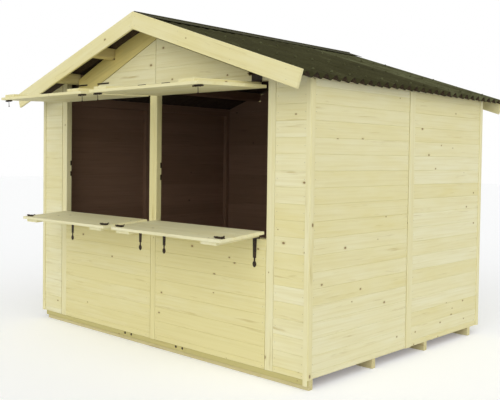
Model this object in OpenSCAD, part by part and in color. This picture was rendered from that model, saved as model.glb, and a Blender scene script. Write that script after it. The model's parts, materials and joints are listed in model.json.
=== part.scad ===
// Wooden market stall: boarded wall panels on floor bearers, a gable front
// with two serving hatches, and a corrugated sheet roof on purlins.
// X runs along the front, Y from the front to the back, Z up from the ground.

/* [Walls] */
// Width across the outer faces of the side walls
wall_w = 3000; // [2800:10:3300]
// Depth from the front face to the back face
wall_d = 2280; // [2100:10:2400]
// Height of the side wall panels above the bearers
wall_h = 1865; // [1820:1:1920]
// Thickness of the wall boards
board_t = 19; // [16:1:24]
// Width and depth of the battens that frame a side panel
frame_s = 44; // [34:1:60]

/* [Base] */
// Height of the floor bearers
bearer_h = 66; // [50:1:90]
// Thickness of the floor bearers
bearer_t = 40; // [32:1:60]
// Height of the base rail on the face of the front bearer
base_rail_h = 36; // [28:1:44]
// Thickness of the base rail
base_rail_t = 15; // [12:1:22]
// Set-back of the base rail from the front face
base_rail_in = 2; // [0:0.5:4]
// Back face of the wall to the middle of the last bearer
bearer_back_in = 158; // [60:1:300]
// Number of floor bearers
bearer_n = 4; // [3:1:4]
// Thickness of the floor deck
deck_t = 18; // [16:1:28]

/* [Front] */
// Width of a front panel, from the side of the stall to its jamb post
front_panel_w = 288; // [240:1:340]
// Width of a jamb post
jamb_w = 66; // [50:1:90]
// Depth of the jamb posts and the mullion
post_d = 50; // [40:1:56]
// Width of the mullion between the two hatches
mullion_w = 82; // [70:1:110]
// Height of the counter hinge axis above the bearers
counter_axis_h = 852; // [800:1:900]
// Height of the awning hinge axis above the side wall tops
awning_rise = 3; // [-10:1:20]
// Height of the sill rail behind the boards
sill_h = 44; // [34:1:60]
// Height of the lintel over the hatches
lintel_h = 40; // [36:1:50]
// Hole left in the gable boarding over each end of the lintel
gable_hole = 150; // [100:1:200]

/* [Flaps] */
// Height above the bearers where the closed flaps meet
meet_h = 1261; // [1200:1:1320]
// Gap between the closed flaps where they meet
meet_gap = 10; // [6:1:16]
// Thickness of the flap boards
flap_board_t = 20; // [16:1:24]
// Thickness of the ledges across the flap boards
ledge_t = 20; // [16:1:24]
// Width of the ledges
ledge_w = 140; // [124:1:160]
// Edge of a ledge to the hinge plate that lies on it
ledge_margin = 2; // [1:0.5:6]
// Set-back of the ledges from the free edge
ledge_free_in = 10; // [4:1:40]
// Hang of the open counters below level in degrees
counter_droop = 4; // [0:0.1:5]
// Hang of the open awnings below level in degrees
awning_droop = 2; // [0:0.1:4]
// Gap between a flap and the posts beside it
flap_side_gap = 6; // [5:0.5:10]
// Gap from a hinge axis to the edge of its flap
root_gap = 3; // [3:0.5:5]
// Gap from a hinge axis to the sill or the lintel
edge_gap = 4; // [3:0.5:6]

/* [Ironmongery] */
// Radius of a hinge knuckle
knuckle_r = 6; // [5:0.5:7]
// Radius of a hinge pin
pin_r = 2.5; // [2:0.25:3]
// Running clearance round a hinge pin
pin_gap = 0.1; // [0.05:0.01:0.2]
// Play between the knuckles of a hinge
knuckle_play = 0.3; // [0.2:0.05:0.6]
// Clearance from a knuckle to the plates that pass it
knuckle_gap = 1; // [0.8:0.1:1.5]
// Thickness of the hinge plates
plate_t = 3; // [2:0.5:4]
// Hinge middle to the end of its flap
hinge_in = 92; // [80:1:140]
// Length of a hinge strap, tip included
strap_l = 197; // [160:1:220]
// Width of a hinge strap at the knuckle
strap_w = 34; // [26:1:38]
// Width of a hinge strap at its shoulder
strap_end_w = 26; // [20:1:32]
// Width of a hinge strap at its neck
strap_neck_w = 12; // [9:1:16]
// Length of the neck up to the spear tip
strap_neck_l = 18; // [12:1:26]
// Width of the spear tip
strap_tip_w = 32; // [24:1:36]
// Length of the spear tip
strap_tip_l = 44; // [36:1:56]
// Length of a hinge cross plate
cross_l = 92; // [80:1:120]
// Width of a hinge cross plate
cross_w = 40; // [32:1:42]
// Length of a barrel bolt
bolt_l = 90; // [70:1:110]
// Radius of a barrel bolt rod
bolt_r = 5; // [4:0.5:7]
// Length of the back plate of a bolt
bolt_plate_l = 60; // [50:1:66]
// Width of the back plate of a bolt
bolt_plate_w = 20; // [16:1:26]
// Free edge of a flap to the middle of its bolts
bolt_in = 40; // [24:1:60]
// Depth that a bolt rod is let into its plate
bolt_sink = 0.5; // [0.3:0.1:1]

/* [Roof] */
// Pitch of the roof in degrees
pitch = 18.3; // [16:0.1:20]
// Rise of the sheets over the side wall tops at the wall face
eave_seat = 10; // [6:1:20]
// How far the sheets pass the side walls
eave_over = 70; // [50:1:110]
// Pitch of one corrugation
wave_l = 95; // [90:1:98]
// Depth of the corrugation from trough to crest
wave_h = 35; // [25:1:38]
// Thickness of the roof sheet
sheet_t = 3; // [2.5:0.1:4]
// Least reach of the sheets past the front and back walls
gable_over = 190; // [150:1:250]
// Gap in the lap between two sheets
lap_gap = 0.4; // [0.3:0.1:1]
// Width of a purlin
purlin_w = 45; // [36:1:60]
// Depth of a purlin below the sheets
purlin_h = 70; // [50:1:90]
// Number of side purlins on each slope
purlin_n = 2; // [1:1:2]
// Clearance round a purlin where it passes a gable
notch_gap = 0.4; // [0.3:0.1:1]
// Width of a bargeboard
barge_w = 120; // [100:1:140]
// Thickness of a bargeboard
barge_t = 18; // [15:1:24]
// Height of the bargeboard above the sheet crests
barge_over = 8; // [4:1:30]
// How far the back bargeboards sit below the front ones
back_barge_drop = 12; // [0:1:30]
// How far the bargeboards pass the side walls
barge_end = 91; // [70:1:130]
// Gap between the sheets of the two slopes at the ridge
ridge_gap = 2; // [1:0.5:6]
// Wing width of the ridge cap
cap_wing = 160; // [120:1:200]
// Radius of the roll along the ridge cap
cap_roll_r = 10; // [8:1:16]

/* [Hidden] */
$fn = 48;

half_w = wall_w / 2;
z0 = bearer_h;
rise = tan(pitch);
side_in = half_w - board_t;
frame_in = side_in - frame_s;
jamb_x = half_w - front_panel_w - jamb_w;
gable_x = jamb_x - gable_hole;
purlin_xs = [for (i = [1 : purlin_n]) round(half_w * i / (purlin_n + 1))];
// Reach of a cut past the face it opens.
cut = 1;

// Each slope has three sheets, which cover a whole number of corrugations.
sheet_n = 3;
cover_n = ceil((wall_d + 2 * gable_over - wave_l) / (sheet_n * wave_l) - 0.01);
sheet_h = wave_h + sheet_t;
roof_l = (sheet_n * cover_n + 1) * wave_l;
slope_l = (half_w + eave_over) / cos(pitch);
sheet_from = (sheet_h + sheet_t + lap_gap) * rise + ridge_gap;
wave_steps = 10;

pin_off = knuckle_r + knuckle_gap;
awning_axis_h = wall_h + awning_rise;
counter_l = meet_h - meet_gap / 2 - counter_axis_h - root_gap;
awning_l = awning_axis_h - root_gap - meet_h - meet_gap / 2;
awning_reach = (root_gap + awning_l) * cos(awning_droop) - (pin_off + ledge_t) * sin(awning_droop);

// The origin is at the middle of the whole outline, open flaps included, to a tenth.
roof_mid = round(5 * (wall_d / 2 + pin_off + awning_reach - roof_l / 2 - barge_t)) / 10;
roof_y = roof_mid - roof_l / 2;
front_y = roof_mid - wall_d / 2;
back_y = roof_mid + wall_d / 2;
bearer_in = base_rail_in + base_rail_t + bearer_t / 2;
bearer_pitch = (wall_d - bearer_in - bearer_back_in) / (bearer_n - 1);

axis_y = front_y - pin_off;
counter_z = z0 + counter_axis_h;
awning_z = z0 + awning_axis_h;
sill_z = counter_z - edge_gap;
lintel_z = awning_z + edge_gap;
flap_t = flap_board_t + ledge_t;
flap_from = mullion_w / 2 + flap_side_gap;
flap_to = jamb_x - flap_side_gap;
flap_w = flap_to - flap_from;
hinge_xs = [flap_from + hinge_in, flap_to - hinge_in];
ledge_in = hinge_in - cross_l / 2 - ledge_margin;
ledge_xs = [flap_from + ledge_in, flap_to - ledge_in - ledge_w];

wood = "#d9d0a0";
wood_shade = "#cbbf88";
roof_green = "#4a4d38";
iron = "#2a2620";

// Underside of the roof sheets over a point x from the middle.
function under(x) = z0 + wall_h + eave_seat + (half_w - abs(x)) * rise;
// Underside of the ridge purlin, to a tenth.
ridge_seat = round(10 * (under(purlin_w / 2) - purlin_h)) / 10;

// Height of the corrugation over a point along the sheet, from its first trough.
function wave(s) = wave_h / 2 * (1 - cos(360 * s / wave_l));

// A profile drawn in X and Z, run from y by a depth towards the back.
module run_y(y, depth) {
    translate([0, y + depth, 0])
        rotate([90, 0, 0])
            linear_extrude(depth)
                children();
}

// Mirror image on the left of the stall.
module on_left() {
    mirror([1, 0, 0])
        children();
}

// Upright board face from x a to x b whose top follows the roof.
module roofed_profile(a, b, bottom) {
    polygon([[a, bottom], [b, bottom], [b, under(b)], [a, under(a)]]);
}

module floor_bearers() {
    color(wood_shade)
        for (i = [0 : bearer_n - 1])
            translate([-half_w, front_y + bearer_in + i * bearer_pitch - bearer_t / 2, 0])
                cube([wall_w, bearer_t, bearer_h]);
}

module floor_deck() {
    color(wood_shade)
        translate([-frame_in, front_y + post_d, z0])
            cube([2 * frame_in, wall_d - post_d - board_t, deck_t]);
}

module base_rail() {
    color(wood)
        translate([-half_w, front_y + base_rail_in, z0 - base_rail_h])
            cube([wall_w, base_rail_t, base_rail_h]);
}

// One framed side panel: boards outside, a batten frame inside.
module side_panel(y, l) {
    translate([side_in, y, z0])
        cube([board_t, l, wall_h]);
    translate([frame_in, y, z0])
        difference() {
            cube([frame_s, l, wall_h]);
            translate([-cut, frame_s, frame_s])
                cube([frame_s + 2 * cut, l - 2 * frame_s, wall_h - 2 * frame_s]);
        }
}

module right_wall_front() {
    color(wood)
        side_panel(front_y + board_t, wall_d / 2 - board_t);
}

module right_wall_back() {
    color(wood)
        side_panel(roof_mid, wall_d / 2 - board_t);
}

module left_wall_front() {
    on_left()
        right_wall_front();
}

module left_wall_back() {
    on_left()
        right_wall_back();
}

module right_front_panel() {
    color(wood)
        run_y(front_y, board_t)
            roofed_profile(jamb_x + jamb_w, half_w, z0);
}

module left_front_panel() {
    on_left()
        right_front_panel();
}

module right_counter_panel() {
    color(wood)
        translate([mullion_w / 2, front_y, z0])
            cube([jamb_x - mullion_w / 2, board_t, sill_z - z0]);
}

module left_counter_panel() {
    on_left()
        right_counter_panel();
}

module right_jamb_post() {
    color(wood)
        run_y(front_y, post_d)
            roofed_profile(jamb_x, jamb_x + jamb_w, z0);
}

module left_jamb_post() {
    on_left()
        right_jamb_post();
}

module mullion_post() {
    color(wood)
        translate([-mullion_w / 2, front_y, z0])
            cube([mullion_w, post_d, lintel_z - z0]);
}

module sill_rails() {
    color(wood)
        for (side = [0, 1])
            mirror([side, 0, 0])
                translate([mullion_w / 2, front_y + board_t, sill_z - sill_h])
                    cube([jamb_x - mullion_w / 2, post_d - board_t, sill_h]);
}

module lintel() {
    color(wood)
        translate([-jamb_x, front_y, lintel_z])
            cube([2 * jamb_x, post_d, lintel_h]);
}

// Section of the ridge purlin.
module ridge_profile() {
    w = purlin_w / 2;
    polygon([[-w, ridge_seat], [w, ridge_seat], [w, under(w)], [0, under(0)], [-w, under(w)]]);
}

// Section of the side purlin at x, its top and bottom along the slope.
module purlin_profile(x) {
    a = x - purlin_w / 2;
    b = x + purlin_w / 2;
    polygon([[a, under(a) - purlin_h], [b, under(b) - purlin_h], [b, under(b)], [a, under(a)]]);
}

// Open notch for the purlin at x, through the roof line above it.
module purlin_notch(x) {
    translate([x - purlin_w / 2 - notch_gap, under(x + purlin_w / 2) - purlin_h - notch_gap])
        square([purlin_w + 2 * notch_gap, 2 * purlin_h]);
}

// Right half of the front gable, its top just under the purlins that lie over it.
module front_gable_profile() {
    low = lintel_z + lintel_h;
    drop = purlin_h + notch_gap;
    polygon([[0, low], [gable_x, low], [gable_x, under(gable_x) - drop],
        [purlin_w / 2, ridge_seat - notch_gap], [0, ridge_seat - notch_gap]]);
}

// Right half of the back gable, boarded up to the sheets and notched for the purlins.
module back_gable_profile() {
    difference() {
        roofed_profile(0, half_w, z0 + wall_h);
        purlin_notch(0);
        for (x = purlin_xs)
            purlin_notch(x);
    }
}

module right_front_gable() {
    color(wood)
        run_y(front_y, board_t)
            front_gable_profile();
}

module left_front_gable() {
    on_left()
        right_front_gable();
}

module right_back_panel() {
    color(wood)
        translate([0, back_y - board_t, z0])
            cube([half_w, board_t, wall_h]);
}

module left_back_panel() {
    on_left()
        right_back_panel();
}

module right_back_gable() {
    color(wood)
        run_y(back_y - board_t, board_t)
            back_gable_profile();
}

module left_back_gable() {
    on_left()
        right_back_gable();
}

module back_post() {
    color(wood)
        translate([-mullion_w / 2, back_y - board_t - frame_s, z0 + deck_t])
            cube([mullion_w, frame_s, ridge_seat - z0 - deck_t]);
}

module ridge_purlin() {
    color(wood_shade)
        run_y(roof_y, roof_l)
            ridge_profile();
}

module side_purlins() {
    color(wood_shade)
        for (side = [0, 1], x = purlin_xs)
            mirror([side, 0, 0])
                run_y(roof_y, roof_l)
                    purlin_profile(x);
}

module eave_fillets() {
    color(wood_shade)
        for (side = [0, 1])
            mirror([side, 0, 0])
                run_y(front_y + board_t, wall_d - 2 * board_t)
                    roofed_profile(frame_in, side_in, z0 + wall_h);
}

// Corrugated section of one sheet, drawn along the eave and up from its trough.
module sheet_profile() {
    n = (cover_n + 1) * wave_steps;
    step = wave_l / wave_steps;
    polygon(concat([for (i = [0 : n]) [i * step, wave(i * step)]],
        [for (i = [n : -1 : 0]) [i * step, wave(i * step) + sheet_t]]));
}

// One sheet of the right slope; every second one is lifted to lap its neighbours.
module right_sheet(i) {
    color(roof_green)
        translate([0, 0, under(0)])
            rotate([0, pitch, 0])
                translate([sheet_from, roof_y + i * cover_n * wave_l, (i % 2) * (sheet_t + lap_gap)])
                    rotate([90, 0, 90])
                        linear_extrude(slope_l - sheet_from)
                            sheet_profile();
}

module right_sheet_front() {
    right_sheet(0);
}

module right_sheet_middle() {
    right_sheet(1);
}

module right_sheet_back() {
    right_sheet(2);
}

module left_sheet_front() {
    on_left()
        right_sheet(0);
}

module left_sheet_middle() {
    on_left()
        right_sheet(1);
}

module left_sheet_back() {
    on_left()
        right_sheet(2);
}

// Section of the ridge cap: two wings that meet in a hollow roll, its middle at the origin.
module cap_profile() {
    thick = sheet_t / cos(pitch);
    wing = cap_wing * cos(pitch);
    difference() {
        intersection() {
            union() {
                polygon([[-wing, -wing * rise], [0, 0], [wing, -wing * rise],
                    [wing, thick - wing * rise], [0, thick], [-wing, thick - wing * rise]]);
                circle(cap_roll_r);
            }
            polygon([[-wing, -wing * rise], [0, 0], [wing, -wing * rise],
                [wing, 2 * cap_roll_r], [-wing, 2 * cap_roll_r]]);
        }
        circle(cap_roll_r - sheet_t);
    }
}

module ridge_cap() {
    seat = (sheet_h + sheet_t + 2 * lap_gap) / cos(pitch);
    color(roof_green)
        run_y(roof_y, roof_l)
            translate([0, under(0) + seat])
                cap_profile();
}

// Right bargeboard from y, its top edge at a height over the sheet crests: plumb mitre
// at the ridge, square cut at the eave.
module barge(y, over) {
    top = under(0) + (sheet_h + over) / cos(pitch);
    tip = half_w + barge_end;
    color(wood)
        run_y(y, barge_t)
            polygon([[0, top], [tip, top - tip * rise],
                [tip - barge_w * sin(pitch), top - tip * rise - barge_w * cos(pitch)],
                [0, top - barge_w / cos(pitch)]]);
}

module right_front_barge() {
    barge(roof_y - barge_t, barge_over);
}

module left_front_barge() {
    on_left()
        right_front_barge();
}

module right_back_barge() {
    barge(roof_y + roof_l, barge_over - back_barge_drop);
}

module left_back_barge() {
    on_left()
        right_back_barge();
}

// A flap of length l lying level on its hinge, its hinge axis at the origin. Two wide
// ledges, stopped short of the free edge, carry the boards and the hinges.
module flap(l) {
    translate([flap_from, -root_gap - l, pin_off + ledge_t])
        cube([flap_w, l, flap_board_t]);
    for (x = ledge_xs)
        translate([x, -root_gap - l + ledge_free_in, pin_off])
            cube([ledge_w, l - ledge_free_in, ledge_t]);
}

// Puts a piece drawn about the hinge axis on the counter or the awning hinge.
module at_counter() {
    translate([0, axis_y, counter_z])
        children();
}

module at_awning() {
    translate([0, axis_y, awning_z])
        mirror([0, 0, 1])
            children();
}

// The same for a piece that moves, at the hang of the open flap.
module on_counter() {
    at_counter()
        rotate([counter_droop, 0, 0])
            children();
}

module on_awning() {
    at_awning()
        rotate([-awning_droop, 0, 0])
            children();
}

module right_counter_flap() {
    color(wood)
        on_counter()
            flap(counter_l);
}

module left_counter_flap() {
    on_left()
        right_counter_flap();
}

module right_awning_flap() {
    color(wood)
        on_awning()
            flap(awning_l);
}

module left_awning_flap() {
    on_left()
        right_awning_flap();
}

// Face of a hinge strap that runs along -Y from its knuckle: a tapered blade with
// shoulders, a neck, and a spear tip where two arcs cross.
module strap_profile() {
    tip_y = strap_l - strap_tip_l / 2;
    blade_l = strap_l - strap_tip_l - strap_neck_l;
    arc_r = (pow(strap_tip_l, 2) + pow(strap_tip_w, 2)) / (4 * strap_tip_w);
    polygon([[-strap_w / 2, 0], [strap_w / 2, 0],
        [strap_end_w / 2, -blade_l], [strap_neck_w / 2, -blade_l],
        [strap_neck_w / 2, -tip_y], [-strap_neck_w / 2, -tip_y],
        [-strap_neck_w / 2, -blade_l], [-strap_end_w / 2, -blade_l]]);
    intersection() {
        translate([arc_r - strap_tip_w / 2, -tip_y])
            circle(arc_r);
        translate([strap_tip_w / 2 - arc_r, -tip_y])
            circle(arc_r);
    }
}

// Fixed knuckle and its pin, which reaches through the two moving knuckles.
module fixed_knuckle() {
    rotate([0, 90, 0])
        cylinder(r = knuckle_r, h = strap_w, center = true);
    rotate([0, 90, 0])
        cylinder(r = pin_r, h = cross_l, center = true);
}

// Moving half of a hinge under a plate at pin_off over the axis: two knuckles bored
// for the pin, each on a web, and a plate cut back to pass the fixed knuckle.
module hinge_leaf(has_strap) {
    l = (cross_l - strap_w) / 2 - knuckle_play;
    for (side = [-1, 1])
        translate([side * (cross_l - l) / 2, 0, 0])
            difference() {
                union() {
                    rotate([0, 90, 0])
                        cylinder(r = knuckle_r, h = l, center = true);
                    translate([-l / 2, -knuckle_r, 0])
                        cube([l, knuckle_r, pin_off]);
                }
                rotate([0, 90, 0])
                    cylinder(r = pin_r + pin_gap, h = l + 2 * cut, center = true);
            }
    difference() {
        translate([0, -root_gap, pin_off - plate_t]) {
            translate([-cross_l / 2, -cross_w, 0])
                cube([cross_l, cross_w, plate_t]);
            if (has_strap)
                linear_extrude(plate_t)
                    strap_profile();
        }
        translate([-strap_w / 2 - knuckle_play, -knuckle_r - knuckle_gap, 0])
            cube([strap_w + 2 * knuckle_play, knuckle_r + knuckle_gap, pin_off + cut]);
    }
}

// Fixed half of a counter hinge: a strap down the wall face.
module counter_strap() {
    translate([0, pin_off, 0])
        rotate([90, 0, 0])
            linear_extrude(plate_t)
                strap_profile();
    translate([-strap_w / 2, 0, -knuckle_r])
        cube([strap_w, pin_off, knuckle_r]);
    fixed_knuckle();
}

module counter_straps() {
    color(iron)
        for (side = [0, 1], x = hinge_xs)
            mirror([side, 0, 0])
                at_counter()
                    translate([x, 0, 0])
                        counter_strap();
}

// Fixed half of an awning hinge: a cross plate up the lintel face.
module awning_cross_plates() {
    color(iron)
        for (side = [0, 1], x = hinge_xs)
            mirror([side, 0, 0])
                at_awning()
                    translate([x, 0, 0]) {
                        translate([-cross_l / 2, pin_off - plate_t, -pin_off - cross_w])
                            cube([cross_l, plate_t, cross_w]);
                        translate([-strap_w / 2, 0, -pin_off - plate_t])
                            cube([strap_w, pin_off, pin_off + plate_t]);
                        fixed_knuckle();
                    }
}

module right_counter_leaves() {
    color(iron)
        for (x = hinge_xs)
            on_counter()
                translate([x, 0, 0])
                    hinge_leaf(false);
}

module left_counter_leaves() {
    on_left()
        right_counter_leaves();
}

module right_awning_straps() {
    color(iron)
        for (x = hinge_xs)
            on_awning()
                translate([x, 0, 0])
                    hinge_leaf(true);
}

module left_awning_straps() {
    on_left()
        right_awning_straps();
}

// Barrel bolts on the inner face of a flap of length l, at its free corners.
module bolts(l) {
    face = pin_off + flap_t;
    for (x = [flap_from + bolt_l / 2, flap_to - bolt_l / 2])
        translate([x, -root_gap - l + bolt_in, face]) {
            translate([-bolt_plate_l / 2, -bolt_plate_w / 2, 0])
                cube([bolt_plate_l, bolt_plate_w, plate_t]);
            translate([0, 0, plate_t + bolt_r - bolt_sink])
                rotate([0, 90, 0])
                    cylinder(r = bolt_r, h = bolt_l, center = true);
        }
}

module right_counter_bolts() {
    color(iron)
        on_counter()
            bolts(counter_l);
}

module left_counter_bolts() {
    on_left()
        right_counter_bolts();
}

module right_awning_bolts() {
    color(iron)
        on_awning()
            bolts(awning_l);
}

module left_awning_bolts() {
    on_left()
        right_awning_bolts();
}

floor_bearers();
floor_deck();
base_rail();
right_wall_front();
right_wall_back();
left_wall_front();
left_wall_back();
right_front_panel();
left_front_panel();
right_counter_panel();
left_counter_panel();
right_jamb_post();
left_jamb_post();
mullion_post();
sill_rails();
lintel();
right_front_gable();
left_front_gable();
right_back_panel();
left_back_panel();
right_back_gable();
left_back_gable();
back_post();
ridge_purlin();
side_purlins();
eave_fillets();
right_sheet_front();
right_sheet_middle();
right_sheet_back();
left_sheet_front();
left_sheet_middle();
left_sheet_back();
ridge_cap();
right_front_barge();
left_front_barge();
right_back_barge();
left_back_barge();
right_counter_flap();
left_counter_flap();
right_awning_flap();
left_awning_flap();
counter_straps();
awning_cross_plates();
right_counter_leaves();
left_counter_leaves();
right_awning_straps();
left_awning_straps();
right_counter_bolts();
left_counter_bolts();
right_awning_bolts();
left_awning_bolts();
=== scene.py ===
import json
import math
import random

import bmesh
import bpy
from mathutils import Matrix, Vector


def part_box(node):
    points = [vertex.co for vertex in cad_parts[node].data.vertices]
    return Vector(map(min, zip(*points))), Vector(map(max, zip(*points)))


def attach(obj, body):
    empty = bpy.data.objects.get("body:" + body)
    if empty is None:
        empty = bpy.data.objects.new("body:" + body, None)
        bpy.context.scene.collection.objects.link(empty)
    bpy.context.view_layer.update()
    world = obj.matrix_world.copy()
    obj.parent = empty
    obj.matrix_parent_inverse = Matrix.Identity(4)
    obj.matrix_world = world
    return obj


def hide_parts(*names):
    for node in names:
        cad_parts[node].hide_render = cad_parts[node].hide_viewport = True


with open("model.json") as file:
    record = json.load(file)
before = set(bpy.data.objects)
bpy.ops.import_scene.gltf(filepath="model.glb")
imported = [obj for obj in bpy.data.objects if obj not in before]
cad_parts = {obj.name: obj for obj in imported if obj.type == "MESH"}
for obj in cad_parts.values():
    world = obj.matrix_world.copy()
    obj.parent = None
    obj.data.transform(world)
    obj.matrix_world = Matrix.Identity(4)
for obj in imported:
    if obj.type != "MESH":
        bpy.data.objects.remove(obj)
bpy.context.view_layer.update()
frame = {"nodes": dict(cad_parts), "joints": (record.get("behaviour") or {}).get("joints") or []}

chance = random.Random(11)
X, Y, Z = Vector((1, 0, 0)), Vector((0, 1, 0)), Vector((0, 0, 1))
SIDES = (("right", 1), ("left", -1))

# Sizes read off the frame, in metres.
rail_lo, rail_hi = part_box("base_rail")
wall_lo, wall_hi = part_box("right_wall_front")
panel_lo, panel_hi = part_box("right_front_panel")
jamb_lo, jamb_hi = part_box("right_jamb_post")
mullion_lo, mullion_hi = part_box("mullion_post")
counter_lo, counter_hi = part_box("right_counter_panel")
lintel_lo, lintel_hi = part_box("lintel")
back_lo, back_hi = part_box("right_back_panel")
ridge_lo, ridge_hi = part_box("ridge_purlin")
gable_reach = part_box("right_front_gable")[1].x
roof_front, roof_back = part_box("right_sheet_front")[0].y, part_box("right_sheet_back")[1].y
hinge = {j["name"]: Vector(j["pos_m"]) for j in frame["joints"]}
FRONT, BACK = panel_lo.y, back_hi.y
HALF = panel_hi.x
BOARD = panel_hi.y - panel_lo.y
FOOT, WALL_TOP = wall_lo.z, wall_hi.z
MID = wall_hi.y
FRAME_IN = wall_lo.x

# Roof slope: its tangent, and how far a metre of it goes out and down.
PITCH = math.radians(18.3)
RISE, RUN, FALL = math.tan(PITCH), math.cos(PITCH), math.sin(PITCH)

# Level boards: lowest joint above the foot, cover, courses enough to pass the ridge, least height of a board.
FIRST, COVER, COURSES, THINNEST = 0.040, 0.1046, 24, 0.012
# V joint on the face and back. Eased edges of timbers, strips and stout timbers, and an edge off the saw.
V_FACE, V_BACK = 0.0024, 0.0015
EASE, STRIP_EASE, STOUT_EASE, SAWN_EASE = 0.002, 0.0015, 0.003, 0.0004
# Depth of the inner face that takes stain, and how far apart two boards may lie in the grain pattern.
STAIN_DEPTH, GRAIN_SPREAD = 0.003, 30
# Tones that boards are picked from, pale at 0 to warm at 1, and how pale each sheet and fitting is drawn.
# Some ranges are painted light and shade. The gable and counter boards are picked paler for light they lack
# under the overhang and awnings. The lower front panels, mullion, awning and base rail boards are picked
# warmer for golden shade. The side walls differ only at random.
TONES = {"base_rail": (1.0, 1.3), "side_wall": (0.0, 0.8), "mullion": (0.8, 1.2), "counter_panel": (0.8, 1.3),
         "gable": (0.0, 0.25), "rake": (0.0, 0.2), "counter": (0.0, 0.4), "awning": (0.5, 0.9)}
# The back sheets are drawn paler as a painted sheen for the sky reflected at a grazing view; the other values
# are fading.
FADE_AND_SHEEN = {"front": 0.12, "middle": 0.18, "back": 0.5, "cap": 0.1, "fitting": 0.5}
# Faces that meet at more than this show an edge.
SHARP = math.radians(40)

BATTEN = 0.044
PURLIN_W, PURLIN_H, PURLIN_GAP = 0.045, 0.070, 0.0004
PURLIN_XS = (0.5, 1.0)


def under(x):
    """Height of the roof sheets' underside over x."""
    return jamb_hi.z + (jamb_lo.x - abs(x)) * RISE


def roof_x(z):
    """How far from the middle the roof's underside comes down to z."""
    return jamb_lo.x - (z - jamb_hi.z) / RISE


def slope_ways(sign):
    """Down the roof and square to it, on the right or left side."""
    return Vector((sign * RUN, 0, -FALL)), Vector((sign * FALL, 0, RUN))


def on_slope(sign, s, y, h):
    """A point s down the slope from the ridge, h above the underside of the sheets."""
    return Vector((sign * (s * RUN + h * FALL), y, under(0) - s * FALL + h * RUN))


# Materials

def linear(code):
    """sRGB hex to linear."""
    parts = [int(code[i:i + 2], 16) / 255 for i in (1, 3, 5)]
    return [p / 12.92 if p <= 0.04045 else ((p + 0.055) / 1.055) ** 2.4 for p in parts] + [1]


def add(tree, kind, settings=None, links=None):
    """Adds a node, with its settings and the sockets that feed it."""
    node = tree.nodes.new(kind)
    for key, value in (settings or {}).items():
        if key == "stops":
            for i, (at, code) in enumerate(value):
                stop = node.color_ramp.elements[i] if i < 2 else node.color_ramp.elements.new(at)
                stop.position, stop.color = at, linear(code)
        elif isinstance(key, str) and hasattr(node, key):
            setattr(node, key, value)
        else:
            node.inputs[key].default_value = value
    for key, source in (links or {}).items():
        tree.links.new(source, node.inputs[key])
    return node


def finish(name, roughness, ior):
    """A new material with its shader."""
    mat = bpy.data.materials.new(name)
    mat.use_nodes = True
    shader = mat.node_tree.nodes["Principled BSDF"]
    shader.inputs["Roughness"].default_value = roughness
    shader.inputs["IOR"].default_value = ior
    return mat, mat.node_tree, shader


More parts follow.
